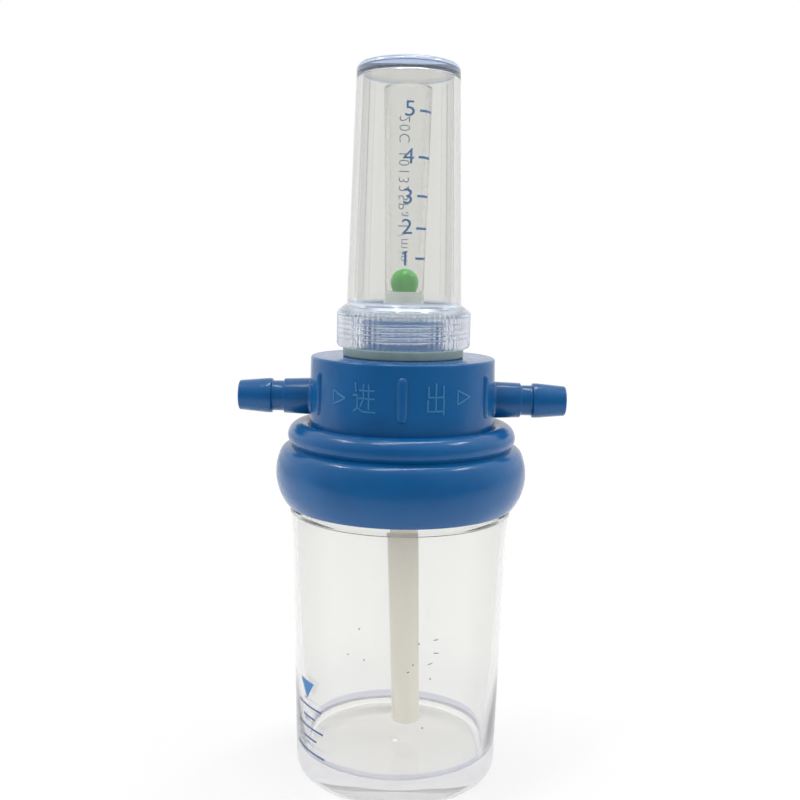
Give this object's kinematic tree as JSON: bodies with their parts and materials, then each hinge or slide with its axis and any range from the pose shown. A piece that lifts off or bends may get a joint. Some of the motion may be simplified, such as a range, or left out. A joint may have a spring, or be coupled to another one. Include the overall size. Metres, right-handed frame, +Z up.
{
  "type": "oxygen flowmeter",
  "caption": "Oxygen flowmeter with a ball in a tapered clear tube above a blue head with two hose barbs, screwed on a clear bubble humidifier bottle with a dip tube.",
  "frame": {"origin": "centre of the bottle's foot, on the surface that it stands on", "axes": "+Z up along the bottle's axis, +X along the outlet hose barb, -Y towards the front with the flow scale"},
  "size_m": [0.0878, 0.0674, 0.19],
  "materials": {
    "bottle_clear": "clear moulded plastic, glossy, with a few specks",
    "seal_rubber": "soft pale rubber",
    "head_blue": "deep blue moulded plastic, glossy, a little see-through",
    "dip_ivory": "ivory extruded plastic",
    "gasket_rubber": "grey rubber, satin",
    "holder_clear": "clear, slightly milky moulded plastic",
    "tube_clear": "clear moulded plastic, glossy",
    "ball_green": "bright green solid plastic, glossy",
    "cover_clear": "clear moulded plastic, glossy, printed flow scale"
  },
  "bodies": {
    "bottle": {"bottle": "bottle_clear"},
    "bottle_seal": {"bottle_seal": "seal_rubber"},
    "head": {"head": "head_blue", "dip_tube": "dip_ivory", "tube_holder": "holder_clear", "plug_ring": "seal_rubber", "flow_tube": "tube_clear"},
    "cover_gasket": {"cover_gasket": "gasket_rubber"},
    "flow_cover": {"flow_cover": "cover_clear"},
    "float_ball": {"float_ball": "ball_green"}
  },
  "joints": [
    {"name": "head_lift", "type": "slide", "parent": "bottle", "child": "bottle_seal", "axis": [0, 0, 1], "range_m": [0, 0.085]},
    {"name": "head_turn", "type": "hinge", "parent": "bottle_seal", "child": "head", "pos_m": [0, 0, 0.0911], "axis": [0, 0, 1], "range_deg": [0, 630]},
    {"name": "cover_turn", "type": "hinge", "parent": "head", "child": "cover_gasket", "pos_m": [0, 0, 0.1145], "axis": [0, 0, 1], "range_deg": [0, 1800]},
    {"name": "cover_lift", "type": "slide", "parent": "cover_gasket", "child": "flow_cover", "axis": [0, 0, 1], "range_m": [0, 0.07]},
    {"name": "ball_rise", "type": "slide", "parent": "head", "child": "float_ball", "axis": [0, 0, 1], "range_m": [0, 0.0489]}
  ]
}
